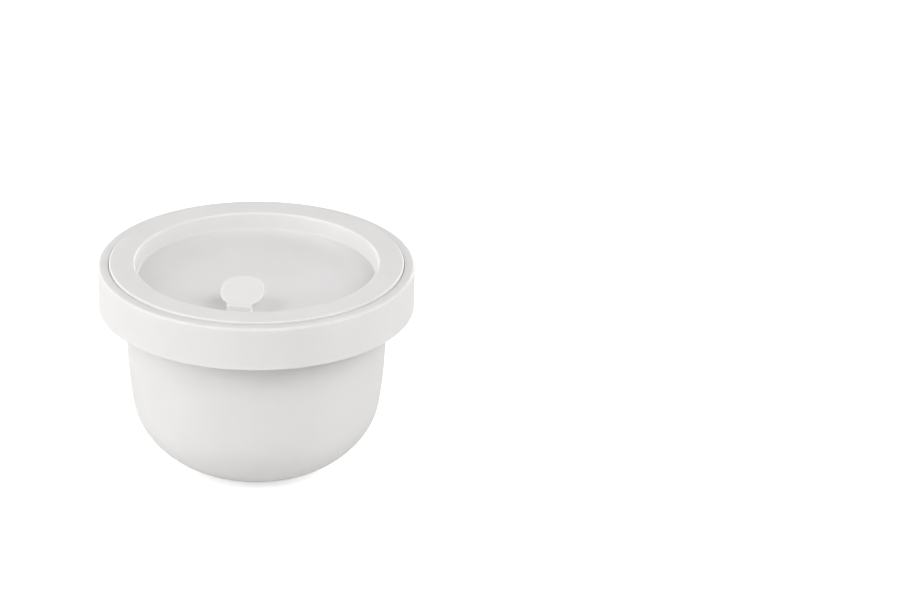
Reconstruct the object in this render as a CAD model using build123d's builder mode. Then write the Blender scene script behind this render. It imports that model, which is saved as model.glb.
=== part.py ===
from build123d import *
import os
from math import sin, cos, tan, radians

# Refill cup with a loose sealing disc, as used inside a cosmetic cream jar.
# Frame: origin at the centre of the base, +Z up, pull tab on the -Y side and pointing to +Y.
# All sizes in millimetres.

# ---------------------------------------------------------------- driving dimensions
# cup body, outside
base_flat_r = 8.25          # flat the cup stands on
foot_arc_r = 14.0           # four tangent arcs from the flat up to the straight wall
foot_arc_end = 25.0         # slope in degrees where each arc ends
belly_arc_r = 18.3
belly_arc_end = 51.6
heel_arc_r = 13.5
heel_arc_end = 81.1
side_arc_r = 93.0
side_arc_end = 87.48        # the wall above leans out by the rest of a right angle
cup_wall = 1.1              # even wall, bowl and base

# collar and rim
collar_r = 30.0             # outside radius under the rim's rounding
collar_bottom_r = 29.92     # slight draft towards the open lower edge
collar_bottom_z = 32.15
rim_top_z = 40.55
rim_outer_round = 0.50
rim_inner_r = 27.97
rim_inner_round = 0.20
ledge_depth = 0.90          # seat for the disc, below the rim
ledge_corner_round = 0.12
mouth_round = 0.55          # soft edge between the ledge and the bowl
web_thickness = 1.35        # flange between the bowl and the collar
skirt_thickness = 1.40
skirt_inner_draft = 0.6     # degrees
channel_round = 0.50
collar_edge_round = 0.15

# sealing disc
disc_r = 27.89
disc_thickness = 1.35
disc_top_z = 41.02
disc_edge_round = 0.30
disc_under_round = 0.15
recess_top_r = 23.00        # radius of the recess wall just under its rounded top edge
recess_edge_round = 0.45
recess_depth = 3.32
recess_draft = 5.0          # degrees
recess_floor_round = 0.35
pan_outer_r = 23.80
pan_outer_draft = 3.0       # degrees
pan_floor = 0.90
pan_under_round = 1.60
pan_root_round = 0.15

# pull tab
tab_width = 4.70            # post and neck
tab_front_y = -19.36        # outer face of the post
post_thickness = 1.30
tab_tilt = 20.6             # rise of the tongue at rest, degrees
tongue_thickness = 0.75
grip_r = 4.05
grip_from_root = 3.80       # root axis to the centre of the round grip
root_axis_drop = 0.96       # root axis below the disc's top face
root_gap = 0.05             # running clearance between the root and the post
tongue_edge_round = 0.12
shoulder_round = 0.35
post_foot_round = 0.25
post_draft = 3.5            # degrees, each face

os.makedirs("parts", exist_ok=True)

# ---------------------------------------------------------------- cup
ledge_z = rim_top_z - ledge_depth
web_under_z = ledge_z - web_thickness
lean = radians(90.0 - side_arc_end)


def wall_point(start_r, start_z, shrink):
    """Where the straight wall begins, after the four arcs, for the outer (0) or inner (cup_wall) face."""
    r, z, a0 = start_r, start_z, 0.0
    for radius, a1 in (
        (foot_arc_r, foot_arc_end),
        (belly_arc_r, belly_arc_end),
        (heel_arc_r, heel_arc_end),
        (side_arc_r, side_arc_end),
    ):
        q = radius - shrink
        r += q * (sin(radians(a1)) - sin(radians(a0)))
        z += q * (cos(radians(a0)) - cos(radians(a1)))
        a0 = a1
    return r, z


outer_r, outer_z = wall_point(base_flat_r, 0.0, 0.0)
inner_r, inner_z = wall_point(base_flat_r, cup_wall, cup_wall)
wall_under_web_r = outer_r + (web_under_z - outer_z) * tan(lean)
mouth_r = inner_r + (ledge_z - inner_z) * tan(lean)
skirt_bottom_r = collar_bottom_r - skirt_thickness
skirt_top_r = skirt_bottom_r - (web_under_z - collar_bottom_z) * tan(radians(skirt_inner_draft))

with BuildPart() as cup:
    with BuildSketch(Plane.XZ) as cup_section:
        with BuildLine() as cup_outline:
            # outside of the bowl, from the axis out and up
            o1 = Line((0, 0), (base_flat_r, 0))
            o2 = JernArc(o1 @ 1, (1, 0), foot_arc_r, foot_arc_end)
            o3 = JernArc(o2 @ 1, o2 % 1, belly_arc_r, belly_arc_end - foot_arc_end)
            o4 = JernArc(o3 @ 1, o3 % 1, heel_arc_r, heel_arc_end - belly_arc_end)
            o5 = JernArc(o4 @ 1, o4 % 1, side_arc_r, side_arc_end - heel_arc_end)
            o6 = Line(o5 @ 1, (wall_under_web_r, web_under_z))
            # channel under the flange, and the collar band
            o7 = Polyline(
                o6 @ 1,
                (skirt_top_r, web_under_z),
                (skirt_bottom_r, collar_bottom_z),
                (collar_bottom_r, collar_bottom_z),
                (collar_r, rim_top_z),
                (rim_inner_r, rim_top_z),
                (rim_inner_r, ledge_z),
                (mouth_r, ledge_z),
            )
            # inside of the bowl, from the axis out and up
            i1 = Line((0, cup_wall), (base_flat_r, cup_wall))
            i2 = JernArc(i1 @ 1, (1, 0), foot_arc_r - cup_wall, foot_arc_end)
            i3 = JernArc(i2 @ 1, i2 % 1, belly_arc_r - cup_wall, belly_arc_end - foot_arc_end)
            i4 = JernArc(i3 @ 1, i3 % 1, heel_arc_r - cup_wall, heel_arc_end - belly_arc_end)
            i5 = JernArc(i4 @ 1, i4 % 1, side_arc_r - cup_wall, side_arc_end - heel_arc_end)
            i6 = Line(i5 @ 1, o7 @ 1)
            c1 = Line((0, cup_wall), (0, 0))
        make_face()
        for corner, radius in (
            ((collar_r, rim_top_z), rim_outer_round),
            ((rim_inner_r, rim_top_z), rim_inner_round),
            ((rim_inner_r, ledge_z), ledge_corner_round),
            ((mouth_r, ledge_z), mouth_round),
            ((wall_under_web_r, web_under_z), channel_round),
            ((skirt_top_r, web_under_z), channel_round),
            ((skirt_bottom_r, collar_bottom_z), collar_edge_round),
            ((collar_bottom_r, collar_bottom_z), collar_edge_round),
        ):
            fillet(cup_section.vertices().sort_by_distance((*corner, 0))[0], radius)
    revolve(axis=Axis.Z)
cup.part.label = "cup"

# ---------------------------------------------------------------- sealing disc
disc_under_z = disc_top_z - disc_thickness
floor_z = disc_top_z - recess_depth
pan_under_z = floor_z - pan_floor
recess_floor_r = recess_top_r - recess_depth * tan(radians(recess_draft))
pan_bottom_r = pan_outer_r - (disc_under_z - pan_under_z) * tan(radians(pan_outer_draft))

# the root of the tab turns about this line
root_z = disc_top_z - root_axis_drop
root_y = tab_front_y + tongue_thickness / 2
post_top_z = root_z - tongue_thickness / 2 - root_gap
post_rise = post_top_z - (floor_z - pan_floor / 2)
post_spread = post_rise * tan(radians(post_draft))

with BuildPart() as sealing_disc:
    with BuildSketch(Plane.XZ) as disc_section:
        with BuildLine() as disc_outline:
            Polyline(
                (0, floor_z),
                (recess_floor_r, floor_z),
                (recess_top_r, disc_top_z),
                (disc_r, disc_top_z),
                (disc_r, disc_under_z),
                (pan_outer_r, disc_under_z),
                (pan_bottom_r, pan_under_z),
                (0, pan_under_z),
                (0, floor_z),
            )
        make_face()
        for corner, radius in (
            ((recess_floor_r, floor_z), recess_floor_round),
            ((recess_top_r, disc_top_z), recess_edge_round),
            ((disc_r, disc_top_z), disc_edge_round),
            ((disc_r, disc_under_z), disc_under_round),
            ((pan_outer_r, disc_under_z), pan_root_round),
            ((pan_bottom_r, pan_under_z), pan_under_round),
        ):
            fillet(disc_section.vertices().sort_by_distance((*corner, 0))[0], radius)
    revolve(axis=Axis.Z)
    # post that carries the tongue
    with BuildSketch(Plane.XY.offset(floor_z - pan_floor / 2)) as post_plan:
        with Locations((0, tab_front_y + post_thickness / 2)):
            Rectangle(tab_width + 2 * post_spread, post_thickness + 2 * post_spread)
        fillet(post_plan.vertices(), post_spread + 0.08)
    extrude(amount=post_rise, taper=post_draft)
    # small rounding where the post meets the floor
    foot_edges = (
        sealing_disc.edges()
        .filter_by_position(Axis.Z, floor_z - 0.01, floor_z + 0.01)
        .filter_by_position(Axis.Y, tab_front_y - 0.2, tab_front_y + post_thickness + 0.2)
        .filter_by_position(Axis.X, -tab_width / 2 - 0.2, tab_width / 2 + 0.2)
    )
    fillet(foot_edges, post_foot_round)
sealing_disc.part.label = "sealing_disc"

# ---------------------------------------------------------------- pull tab
tilt = radians(tab_tilt)
tab_plane = Plane(
    origin=(0, root_y, root_z),
    x_dir=(1, 0, 0),
    z_dir=(0, -sin(tilt), cos(tilt)),
)

with BuildPart() as pull_tab:
    # tongue: straight neck running into a round grip
    with BuildSketch(tab_plane.offset(-tongue_thickness / 2)) as tongue_plan:
        with Locations((0, grip_from_root / 2)):
            Rectangle(tab_width, grip_from_root)
        with Locations((0, grip_from_root)):
            Circle(grip_r)
        shoulders = tongue_plan.vertices().filter_by_position(Axis.Y, 0.3, grip_from_root)
        fillet(shoulders, shoulder_round)
    extrude(amount=tongue_thickness)
    # softened edges round the grip, top and bottom
    grip_edges = pull_tab.edges().filter_by(GeomType.CIRCLE).filter_by(
        lambda e: abs(e.radius - grip_r) < 0.01
    )
    fillet(grip_edges, tongue_edge_round)
    # rounded root, on the bending line
    with BuildSketch(Plane.YZ.offset(-tab_width / 2)) as root_section:
        with Locations((root_y, root_z)):
            Circle(tongue_thickness / 2)
    extrude(amount=tab_width)
pull_tab.part.label = "pull_tab"

# ---------------------------------------------------------------- files
for piece in (cup, sealing_disc, pull_tab):
    export_step(piece.part, f"parts/{piece.part.label}.step")
    box = piece.part.bounding_box()
    print(
        piece.part.label,
        "volume", round(piece.part.volume, 1),
        "solids", len(piece.part.solids()),
        "size", [round(v, 2) for v in (box.size.X, box.size.Y, box.size.Z)],
        "z", round(box.min.Z, 2), round(box.max.Z, 2),
    )
print("straight wall starts at", round(outer_r, 3), round(outer_z, 3), "mouth radius", round(mouth_r, 3))
print("root axis y", round(root_y, 3), "z", round(root_z, 3))
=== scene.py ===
"""Looks of the refill cup with its sealing disc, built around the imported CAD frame. Metres, CAD frame, tab on the -Y side."""

import math

import bmesh
import bpy
import numpy as np
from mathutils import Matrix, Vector


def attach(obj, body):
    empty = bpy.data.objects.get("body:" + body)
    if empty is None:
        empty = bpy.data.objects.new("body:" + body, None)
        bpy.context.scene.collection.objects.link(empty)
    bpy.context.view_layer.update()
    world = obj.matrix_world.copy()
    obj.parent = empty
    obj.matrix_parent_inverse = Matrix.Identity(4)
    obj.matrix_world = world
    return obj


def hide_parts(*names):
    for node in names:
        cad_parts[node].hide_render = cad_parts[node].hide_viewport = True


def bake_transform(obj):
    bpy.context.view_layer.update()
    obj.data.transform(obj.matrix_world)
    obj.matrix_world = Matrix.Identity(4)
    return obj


MM = 0.001

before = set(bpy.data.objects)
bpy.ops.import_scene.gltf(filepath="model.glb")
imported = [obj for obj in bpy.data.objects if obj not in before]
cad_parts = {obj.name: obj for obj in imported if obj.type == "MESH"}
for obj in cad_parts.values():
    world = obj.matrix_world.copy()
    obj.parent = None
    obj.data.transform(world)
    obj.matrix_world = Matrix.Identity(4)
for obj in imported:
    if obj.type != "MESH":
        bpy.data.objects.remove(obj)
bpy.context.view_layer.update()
scene = bpy.context.scene


# ------------------------------------------------------------------ camera
def make_camera():
    """Looks down at the closed cup from a little to the right of its tab. The aim point lands left of the middle and low, as the cup stands in the frame."""
    radius = 30.0 * MM
    aim = Vector((0.0, 0.0, 26.12 * MM))
    distance, azimuth, elevation = 30.0 * radius, math.radians(9.8), math.radians(24.8)
    focal = 4721.4
    px, py = 256.6 - 450.0, 300.0 - 332.3
    data = bpy.data.cameras.new("camera")
    data.sensor_width = 36.0
    data.lens = focal / 900.0 * 36.0
    data.clip_start, data.clip_end = 0.02, 60.0
    camera = bpy.data.objects.new("camera", data)
    scene.collection.objects.link(camera)
    back = Vector((math.sin(azimuth) * math.cos(elevation), -math.cos(azimuth) * math.cos(elevation), math.sin(elevation)))
    camera.location = aim + back * distance
    # square on to the aim point first, then turned inside the camera's own axes, so the cup stays upright off the middle
    level = (-back).to_track_quat("-Z", "Y")
    place = Vector((px, py, -focal)).normalized()
    camera.rotation_mode = "QUATERNION"
    camera.rotation_quaternion = level @ place.rotation_difference(Vector((0.0, 0.0, -1.0)))
    scene.camera = camera


make_camera()


# ------------------------------------------------------------------ node helpers
def nodes_of(name):
    material = bpy.data.materials.new(name)
    material.use_nodes = True
    tree = material.node_tree
    shader = next(n for n in tree.nodes if n.type == "BSDF_PRINCIPLED")
    return material, tree, shader


def noise(tree, coords, scale, detail=2.0, roughness=0.5):
    node = tree.nodes.new("ShaderNodeTexNoise")
    node.noise_dimensions = "3D"
    node.inputs["Scale"].default_value = scale
    node.inputs["Detail"].default_value = detail
    node.inputs["Roughness"].default_value = roughness
    tree.links.new(coords, node.inputs["Vector"])
    return node.outputs["Fac"]


def spread(tree, fac, low, high, start=0.3, end=0.7):
    node = tree.nodes.new("ShaderNodeMapRange")
    node.interpolation_type = "SMOOTHSTEP"
    for key, value in (("From Min", start), ("From Max", end), ("To Min", low), ("To Max", high)):
        node.inputs[key].default_value = value
    tree.links.new(fac, node.inputs["Value"])
    return node.outputs["Result"]


def maths(tree, operation, a, b=None):
    node = tree.nodes.new("ShaderNodeMath")
    node.operation = operation
    for socket, value in zip(node.inputs, (a, b)):
        if value is None:
            continue
        if isinstance(value, (int, float)):
            socket.default_value = value
        else:
            tree.links.new(value, socket)
    return node.outputs[0]


# ------------------------------------------------------------------ moulded plastic
def plastic(name, light, dark, rough_low, rough_high, grain, scatter):
    """White injection-moulded plastic: faint clouding of the colour, uneven satin gloss with fine scuffs, and a skin with
    a slow waviness under a fine mould grain."""
    material, tree, shader = nodes_of(name)
    place = tree.nodes.new("ShaderNodeTexCoord").outputs["Object"]

    # colour: slow clouding of the filler with small paler flecks
    cloud = spread(tree, noise(tree, place, 55.0, 3.0, 0.55), 0.0, 1.0)
    ramp = tree.nodes.new("ShaderNodeMix")
    ramp.data_type = "RGBA"
    tree.links.new(cloud, ramp.inputs["Factor"])
    ramp.inputs["A"].default_value = (*dark, 1.0)
    ramp.inputs["B"].default_value = (*light, 1.0)
    specks = tree.nodes.new("ShaderNodeTexVoronoi")
    specks.inputs["Scale"].default_value = 420.0
    tree.links.new(place, specks.inputs["Vector"])
    near = spread(tree, specks.outputs["Distance"], 1.0, 0.0, 0.02, 0.07)
    pick = tree.nodes.new("ShaderNodeSeparateColor")
    tree.links.new(specks.outputs["Color"], pick.inputs["Color"])
    rare = spread(tree, pick.outputs[0], 0.0, 1.0, 0.965, 0.985)
    speck = maths(tree, "MULTIPLY", near, rare)
    speck = maths(tree, "MULTIPLY", speck, 0.30)
    dusty = tree.nodes.new("ShaderNodeMix")
    dusty.data_type = "RGBA"
    tree.links.new(speck, dusty.inputs["Factor"])
    tree.links.new(ramp.outputs["Result"], dusty.inputs["A"])
    dusty.inputs["B"].default_value = (dark[0] * 0.72, dark[1] * 0.70, dark[2] * 0.68, 1.0)
    tree.links.new(dusty.outputs["Result"], shader.inputs["Base Color"])

    # gloss: patches of satin, with thin scuffs a little duller
    patches = spread(tree, noise(tree, place, 140.0, 4.0, 0.6), rough_low, rough_high)
    stretch = tree.nodes.new("ShaderNodeMapping")
    stretch.inputs["Rotation"].default_value = (0.3, 0.5, 0.7)
    stretch.inputs["Scale"].default_value = (1.0, 14.0, 14.0)
    tree.links.new(place, stretch.inputs["Vector"])
    scuffs = spread(tree, noise(tree, stretch.outputs["Vector"], 120.0, 2.0, 0.5), 0.0, 0.06, 0.62, 0.74)
    tree.links.new(maths(tree, "ADD", patches, scuffs), shader.inputs["Roughness"])

    # skin: slow waviness of the moulding, then the grain of the mould
    slow = tree.nodes.new("ShaderNodeBump")
    slow.inputs["Strength"].default_value = 0.35
    slow.inputs["Distance"].default_value = 0.00006
    tree.links.new(noise(tree, place, 160.0, 1.0, 0.4), slow.inputs["Height"])
    fine = tree.nodes.new("ShaderNodeBump")
    fine.inputs["Strength"].default_value = grain
    fine.inputs["Distance"].default_value = 0.00001
    tree.links.new(noise(tree, place, 4200.0, 2.0, 0.6), fine.inputs["Height"])
    tree.links.new(slow.outputs["Normal"], fine.inputs["Normal"])
    tree.links.new(fine.outputs["Normal"], shader.inputs["Normal"])

    shader.inputs["IOR"].default_value = 1.49
    shader.inputs["Subsurface Weight"].default_value = scatter
    shader.inputs["Subsurface Radius"].default_value = (1.0, 0.92, 0.86)
    shader.inputs["Subsurface Scale"].default_value = 0.0012
    return material


CUP_LIGHT, CUP_DARK = (0.769, 0.759, 0.748), (0.746, 0.736, 0.725)
DISC_LIGHT, DISC_DARK = (0.785, 0.772, 0.767), (0.762, 0.749, 0.744)
cup_plastic = plastic("cup_plastic", CUP_LIGHT, CUP_DARK, 0.40, 0.50, 0.30, 0.35)
disc_plastic = plastic("disc_plastic", DISC_LIGHT, DISC_DARK, 0.38, 0.48, 0.25, 0.35)


# ------------------------------------------------------------------ mesh helpers
def rounded(corners, step=6.0, support=0.035):
    """A dense outline through corners (a, b, radius), with tangent arcs at the corners and a support point beside each arc."""
    out = []

    def put(p):
        if not out or math.dist(out[-1], p) > 1e-5:
            out.append(p)

    count = len(corners)
    tangent = [0.0] * count
    for i in range(1, count - 1):
        a, b, c = (np.array(corners[k][:2], float) for k in (i - 1, i, i + 1))
        u, v = (a - b) / np.linalg.norm(a - b), (c - b) / np.linalg.norm(c - b)
        half = math.acos(max(-1.0, min(1.0, float(u @ v)))) / 2
        tangent[i] = corners[i][2] / math.tan(half) if corners[i][2] > 0 else 0.0
    put(tuple(corners[0][:2]))
    for i in range(1, count):
        a, b = np.array(corners[i - 1][:2], float), np.array(corners[i][:2], float)
        length = np.linalg.norm(b - a)
        u = (b - a) / length
        start, end = tangent[i - 1], length - tangent[i]
        free = end - start
        stops = {start, end}
        if free > 2.5 * support:
            stops |= {start + support, end - support}
            stops |= {start + free * k / max(1, round(free / 1.2)) for k in range(max(1, round(free / 1.2)) + 1)}
        last = None
        for s in sorted(stops):
            if last is None or s - last > support * 0.45 or s == end:
                put(tuple(a + u * s))
                last = s
        if 0 < i < count - 1 and corners[i][2] > 0:
            c = np.array(corners[i + 1][:2], float)
            v = (c - b) / np.linalg.norm(c - b)
            radius = corners[i][2]
            p0, p1 = b - u * tangent[i], b + v * tangent[i]
            bis = (v - u) / np.linalg.norm(v - u)
            centre = b + bis * math.hypot(radius, tangent[i])
            a0, a1 = math.atan2(*(p0 - centre)[::-1]), math.atan2(*(p1 - centre)[::-1])
            turn = (a1 - a0 + math.pi) % (2 * math.pi) - math.pi
            parts = max(4, round(abs(math.degrees(turn)) / step))
            for k in range(1, parts + 1):
                t = a0 + turn * k / parts
                put((centre[0] + radius * math.cos(t), centre[1] + radius * math.sin(t)))
    return out


def mesh_object(name, vertices, faces, material):
    mesh = bpy.data.meshes.new(name)
    mesh.from_pydata([tuple(v) for v in vertices], [], faces)
    mesh.validate()
    mesh.polygons.foreach_set("use_smooth", [True] * len(mesh.polygons))
    mesh.materials.append(material)
    mesh.update()
    thing = bpy.data.objects.new(name, mesh)
    scene.collection.objects.link(thing)
    return thing


def lathe(name, outline, material, segments=360):
    """Turns a closed outline of (radius, height) in mm, which starts and ends on the axis, about Z. Each end on the axis is one vertex."""
    ring = [p for p in outline if p[0] > 1e-6]
    low, high = outline[0], outline[-1]
    vertices = [(0.0, 0.0, low[1] * MM)]
    angles = [2 * math.pi * k / segments for k in range(segments)]
    for r, z in ring:
        vertices += [(r * MM * math.cos(t), r * MM * math.sin(t), z * MM) for t in angles]
    vertices.append((0.0, 0.0, high[1] * MM))
    faces = []
    for k in range(segments):
        n = (k + 1) % segments
        faces.append((0, 1 + n, 1 + k))
        for j in range(len(ring) - 1):
            a, b = 1 + j * segments, 1 + (j + 1) * segments
            faces.append((a + k, a + n, b + n, b + k))
        top = 1 + (len(ring) - 1) * segments
        faces.append((top + k, top + n, len(vertices) - 1))
    return mesh_object(name, vertices, faces, material)


# ------------------------------------------------------------------ cup: the CAD node, in its own plastic
def dress(node, material):
    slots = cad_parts[node].data.materials
    if len(slots) == 0:
        slots.append(material)
    for k in range(len(slots)):
        slots[k] = material


dress("cup", cup_plastic)

# ------------------------------------------------------------------ sealing disc, turned without its post
DISC_TOP, FLOOR, DISC_UNDER, PAN_UNDER = 41.02, 37.70, 39.67, 36.80
FLOOR_R = 23.00 - 3.32 * math.tan(math.radians(5.0))
PAN_R = 23.80 - (DISC_UNDER - PAN_UNDER) * math.tan(math.radians(3.0))
disc_outline = rounded(
    [
        (0.0, PAN_UNDER, 0.0),
        (PAN_R, PAN_UNDER, 1.60),
        (23.80, DISC_UNDER, 0.15),
        (27.89, DISC_UNDER, 0.15),
        (27.89, DISC_TOP, 0.30),
        (23.00, DISC_TOP, 0.45),
        (FLOOR_R, FLOOR, 0.35),
        (0.0, FLOOR, 0.0),
    ]
)
disc = lathe("sealing_disc_plate", disc_outline, disc_plastic)
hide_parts("sealing_disc")
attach(disc, "disc")

# ------------------------------------------------------------------ pull tab: post, bend and tongue as one moulding
HALF_W, FRONT_Y, POST_T = 2.35, -19.36, 1.30
TILT, TONGUE_T = math.radians(20.6), 0.75
GRIP_R, GRIP_FROM_ROOT, SHOULDER_R = 4.05, 3.80, 0.35
ROOT_Y, ROOT_Z = FRONT_Y + TONGUE_T / 2, DISC_TOP - 0.96
EDGE = 0.17


def side_lines():
    """The post's and tongue's two faces seen from the side, outer and inner, as points (y, z) at matching stations, with each station's length along the piece."""
    along = np.array((math.cos(TILT), math.sin(TILT)))
    across = np.array((-math.sin(TILT), math.cos(TILT)))
    root = np.array((ROOT_Y, ROOT_Z))
    foot = FLOOR - 0.25
    rear_y = FRONT_Y + POST_T
    # where the post's rear face meets the tongue's underside
    under = root - across * TONGUE_T / 2
    corner_z = under[1] + (rear_y - under[0]) * math.tan(TILT)
    fillet_r, turn = 0.40, math.pi / 2 - TILT
    reach = fillet_r * math.tan(turn / 2)
    centre = np.array((rear_y + fillet_r, corner_z - reach))
    outer, inner = [], []
    # straight part of the post
    levels = np.unique(np.concatenate((np.linspace(foot, FLOOR, 3), FLOOR + np.array((0.0, 0.03, 0.07, 0.12, 0.18, 0.25, 0.30)), np.linspace(FLOOR + 0.40, ROOT_Z - 0.04, 12), [ROOT_Z])))
    rear_top = corner_z - reach
    for z in levels:
        outer.append((FRONT_Y, z))
        inner.append((rear_y, z if z <= FLOOR + 0.30 else FLOOR + 0.30 + (rear_top - FLOOR - 0.30) * (z - FLOOR - 0.30) / (ROOT_Z - FLOOR - 0.30)))
    # the bend
    steps = 16
    for k in range(1, steps + 1):
        t = k / steps * turn
        outer.append((root[0] - TONGUE_T / 2 * math.cos(t), root[1] + TONGUE_T / 2 * math.sin(t)))
        inner.append((centre[0] - fillet_r * math.cos(t), centre[1] + fillet_r * math.sin(t)))
    start_out, start_in = np.array(outer[-1]), np.array(inner[-1])
    return outer, inner, root, along, across, start_out, start_in


def tab_mesh():
    outer, inner, root, along, across, start_out, start_in = side_lines()
    # plan outline of the tongue: half width and outward normal at stations u along it, measured from the root axis
    circle_u = GRIP_FROM_ROOT
    # shoulder fillet between the neck side (v = HALF_W) and the grip circle, outside both
    cv = HALF_W + SHOULDER_R
    cu = circle_u - math.sqrt((GRIP_R + SHOULDER_R) ** 2 - cv**2)
    touch = np.array((circle_u, 0.0)) + (np.array((cu, cv)) - np.array((circle_u, 0.0))) * GRIP_R / (GRIP_R + SHOULDER_R)
    plan = []  # (u, v, nu, nv)
    first = 0.30
    for u in np.concatenate((np.linspace(first, cu - 0.04, 5), [cu])):
        plan.append((u, HALF_W, 0.0, 1.0))
    a_end = math.atan2(cv - touch[1], touch[0] - cu)
    for k in range(1, 9):
        t = -math.pi / 2 + (math.pi / 2 - a_end) * k / 8
        du, dv = math.cos(t), math.sin(t)
        plan.append((cu + SHOULDER_R * du, cv + SHOULDER_R * dv, -du, -dv))
    start = math.atan2(touch[1], touch[0] - circle_u)
    for k in range(1, 73):
        t = start * (1 - k / 72)
        cos_t, sin_t = math.cos(t), math.sin(t)
        # the far half of the grip is a little squarer than a circle
        squareness = 2.4 if cos_t > 0 else 2.0
        reach = GRIP_R / (abs(cos_t) ** squareness + abs(sin_t) ** squareness) ** (1 / squareness)
        nu, nv = math.copysign(abs(cos_t) ** (squareness - 1), cos_t), abs(sin_t) ** (squareness - 1)
        size = math.hypot(nu, nv)
        plan.append((circle_u + reach * cos_t, reach * sin_t, nu / size, nv / size))

    # how each station is laid out: a list of (outer point, inner point) and the half width with its normal
    rows = []
    floor_r = 0.25
    for (oy, oz), (iy, iz) in zip(outer, inner):
        height = oz - FLOOR
        flare = 0.0
        if oy == FRONT_Y and height < floor_r:
            h = max(0.0, height)
            flare = floor_r - math.sqrt(max(0.0, floor_r**2 - (floor_r - h) ** 2))
        if oy == FRONT_Y:
            flare += max(0.0, ROOT_Z - TONGUE_T / 2 - oz) * math.tan(math.radians(3.5))
        rows.append(("post", np.array((oy - flare, oz)), np.array((iy + flare, iz)), HALF_W + flare, None))
    out0 = (start_out - root) @ along
    in0 = (start_in - root) @ along
    for u, v, nu, nv in plan:
        rows.append(("tongue", u, None, v, (nu, nv)))

    # columns from the middle of the width out to the edge and round it
    fractions = (0.0, 0.12, 0.24, 0.36, 0.48, 0.60, 0.72, 0.84, 0.95, 1.0)
    round_steps = 6
    vertices, grid = [], []

    def tongue_point(u, v, n):
        """A point of the tongue at length u, width v and height n above its middle plane, as x, y, z. Near the bend the underside starts further out."""
        base = root + along * u + across * n
        return (v, base[0], base[1])

    for kind, a, b, width, normal in rows:
        line = []
        if kind == "post":
            mid, half = (a + b) / 2, (a - b) / 2
            thick = np.linalg.norm(half)
            unit = half / thick
            e = min(EDGE, thick * 0.9)

            def at(v, n):
                p = mid + unit * n
                return (v, p[0], p[1])

            inner_v = width - e
            for f in fractions:
                line.append(at(inner_v * f, thick))
            for k in range(1, round_steps + 1):
                t = math.pi / 2 * k / round_steps
                line.append(at(inner_v + e * math.sin(t), thick - e + e * math.cos(t)))
            for k in range(0, round_steps + 1):
                t = math.pi / 2 * (1 - k / round_steps)
                line.append(at(inner_v + e * math.sin(t), -(thick - e) - e * math.cos(t)))
            for f in reversed(fractions[:-1]):
                line.append(at(inner_v * f, -thick))
        else:
            u, (nu, nv) = a, normal
            thick, e = TONGUE_T / 2, EDGE

            def at(v, n, du=0.0):
                """Upper stations start at the end of the outer bend, lower ones at the end of the inner fillet, and even out by the neck's end."""
                begin = (out0 + (in0 - out0) * (thick - n) / (2 * thick))
                uu = u + du
                if u < 1.25:
                    s = (u - 0.30) / (1.25 - 0.30)
                    uu = begin + 0.02 + (1.25 + du - begin - 0.02) * s
                return tongue_point(uu, v, n)

            iu, iv = u - e * nu, max(0.0, width - e * nv)
            for f in fractions:
                line.append(at(iv * f, thick, iu - u))
            for k in range(1, round_steps + 1):
                t = math.pi / 2 * k / round_steps
                s = e * math.sin(t)
                line.append(at(iv + s * nv, thick - e + e * math.cos(t), iu + s * nu - u))
            for k in range(0, round_steps + 1):
                t = math.pi / 2 * (1 - k / round_steps)
                s = e * math.sin(t)
                line.append(at(iv + s * nv, -(thick - e) - e * math.cos(t), iu + s * nu - u))
            for f in reversed(fractions[:-1]):
                line.append(at(iv * f, -thick, iu - u))
        grid.append(line)

    columns = len(grid[0])
    index = {}
    faces = []

    def vertex(p):
        key = tuple(round(c * 1e6) for c in p)
        if key not in index:
            index[key] = len(vertices)
            vertices.append(tuple(c * MM for c in p))
        return index[key]

    for side in (1, -1):
        ids = [[vertex((p[0] * side, p[1], p[2])) for p in line] for line in grid]
        for i in range(len(ids) - 1):
            for j in range(columns - 1):
                quad = [ids[i][j], ids[i][j + 1], ids[i + 1][j + 1], ids[i + 1][j]]
                if side == -1:
                    quad.reverse()
                clean = [q for k, q in enumerate(quad) if q != quad[k - 1]]
                if len(set(clean)) >= 3 and len(set(clean)) == len(clean):
                    faces.append(tuple(clean))
    # close the foot, inside the disc's floor
    right = [vertex((p[0], p[1], p[2])) for p in grid[0]]
    left = [vertex((-p[0], p[1], p[2])) for p in grid[0]]
    loop = right + left[::-1]
    ring = [q for k, q in enumerate(loop) if q != loop[k - 1]]
    if ring[0] == ring[-1]:
        ring.pop()
    faces.append(tuple(ring[::-1]))
    return vertices, faces


tab_vertices, tab_faces = tab_mesh()
tab = mesh_object("pull_tab_moulding", tab_vertices, tab_faces, disc_plastic)
bm = bmesh.new()
bm.from_mesh(tab.data)
bmesh.ops.recalc_face_normals(bm, faces=bm.faces)
bad = [e for e in bm.edges if not e.is_manifold]
print("tab open edges", len(bad), "faces", len(bm.faces))
bm.to_mesh(tab.data)
bm.free()
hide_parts("pull_tab")
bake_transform(tab)


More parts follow.
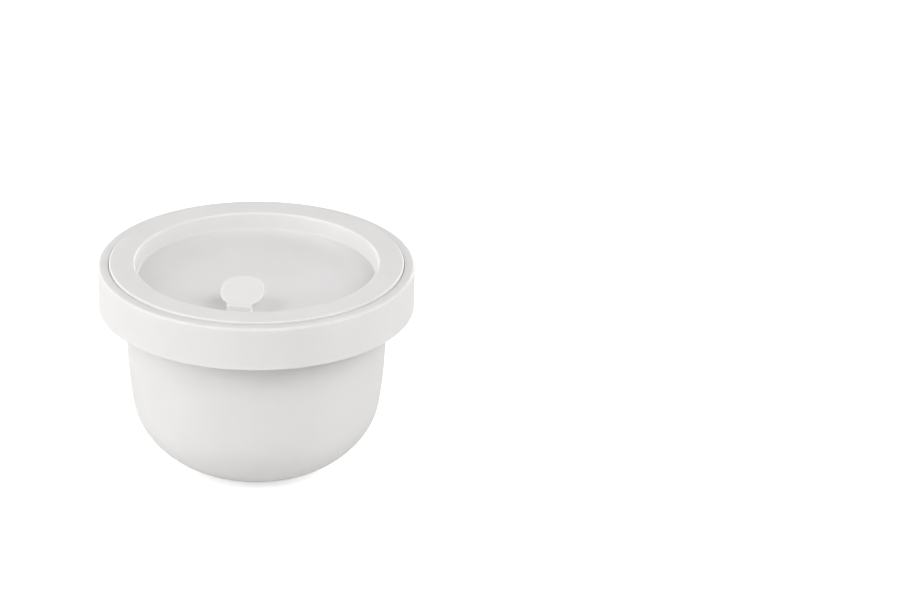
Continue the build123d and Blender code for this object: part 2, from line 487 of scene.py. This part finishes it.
# ------------------------------------------------------------------ floor
def make_floor():
    size, rise = 2.2, 0.0
    rings, around = 24, 96
    vertices = [(0.0, 0.0, rise)]
    for k in range(1, rings + 1):
        r = size * (k / rings) ** 1.7
        vertices += [(r * math.cos(2 * math.pi * j / around), r * math.sin(2 * math.pi * j / around), rise) for j in range(around)]
    faces = [(0, 1 + j, 1 + (j + 1) % around) for j in range(around)]
    for k in range(rings - 1):
        a, b = 1 + k * around, 1 + (k + 1) * around
        faces += [(a + j, b + j, b + (j + 1) % around, a + (j + 1) % around) for j in range(around)]
    material, tree, shader = nodes_of("pale_floor")
    place = tree.nodes.new("ShaderNodeTexCoord").outputs["Object"]
    mix = tree.nodes.new("ShaderNodeMix")
    mix.data_type = "RGBA"
    tree.links.new(noise(tree, place, 9.0, 3.0), mix.inputs["Factor"])
    mix.inputs["A"].default_value = (0.77, 0.77, 0.765, 1.0)
    mix.inputs["B"].default_value = (0.79, 0.79, 0.785, 1.0)
    tree.links.new(mix.outputs["Result"], shader.inputs["Base Color"])
    shader.inputs["Roughness"].default_value = 0.75
    shader.inputs["Specular IOR Level"].default_value = 0.2
    # the backdrop is blown out to white where it is seen directly, and an ordinary pale table for the light it returns
    seen = tree.nodes.new("ShaderNodeLightPath").outputs["Is Camera Ray"]
    shader.inputs["Emission Color"].default_value = (1.0, 1.0, 1.0, 1.0)
    tree.links.new(maths(tree, "MULTIPLY", seen, 0.60), shader.inputs["Emission Strength"])
    floor = mesh_object("floor", vertices, faces, material)


make_floor()

# ------------------------------------------------------------------ light
WORLD = 0.252
LIGHTS = (
    # azimuth from the camera's own, elevation, distance, width, height, power: soft boxes round a white table
    (-150.0, 12.0, 0.80, 0.45, 0.32, 1.26),
    (-105.0, 12.0, 0.80, 0.45, 0.32, 0.29),
    (-75.0, 12.0, 0.80, 0.45, 0.32, 2.39),
    (40.0, 12.0, 0.80, 0.45, 0.32, 0.20),
    (105.0, 12.0, 0.80, 0.45, 0.32, 0.78),
    (150.0, 12.0, 0.80, 0.45, 0.32, 1.92),
    (-110.0, 40.0, 0.80, 0.45, 0.45, 0.45),
    (-60.0, 40.0, 0.80, 0.45, 0.45, 1.60),
    (-20.0, 40.0, 0.80, 0.45, 0.45, 0.17),
    (20.0, 40.0, 0.80, 0.45, 0.45, 1.43),
    (60.0, 40.0, 0.80, 0.45, 0.45, 2.23),
    (110.0, 40.0, 0.80, 0.45, 0.45, 0.06),
    (180.0, 65.0, 0.80, 0.50, 0.50, 0.10),
)


def make_lights():
    world = bpy.data.worlds.new("studio")
    scene.world = world
    world.use_nodes = True
    background = next(n for n in world.node_tree.nodes if n.type == "BACKGROUND")
    background.inputs["Color"].default_value = (1.0, 1.0, 1.0, 1.0)
    # white where it is seen directly, and WORLD for the light it gives
    seen = world.node_tree.nodes.new("ShaderNodeLightPath").outputs["Is Camera Ray"]
    strength = maths(world.node_tree, "MULTIPLY", seen, 1.0 - WORLD)
    world.node_tree.links.new(maths(world.node_tree, "ADD", strength, WORLD), background.inputs["Strength"])
    for number, (azimuth, elevation, distance, width, height, power) in enumerate(LIGHTS):
        name = f"softbox_{number + 1}"
        a, e = math.radians(azimuth + 9.8), math.radians(elevation)
        data = bpy.data.lights.new(name, "AREA")
        data.shape = "RECTANGLE"
        data.size, data.size_y = width, height
        data.energy = power
        lamp = bpy.data.objects.new(name, data)
        scene.collection.objects.link(lamp)
        out = Vector((math.sin(a) * math.cos(e), -math.cos(a) * math.cos(e), math.sin(e)))
        lamp.location = Vector((0.0, 0.0, 0.03)) + out * distance
        lamp.rotation_mode = "QUATERNION"
        lamp.rotation_quaternion = out.to_track_quat("Z", "Y")
        lamp.visible_camera = False


make_lights()
scene.view_settings.view_transform = "Standard"
scene.view_settings.look = "None"
scene.view_settings.exposure = 0.0
scene.view_settings.gamma = 1.0
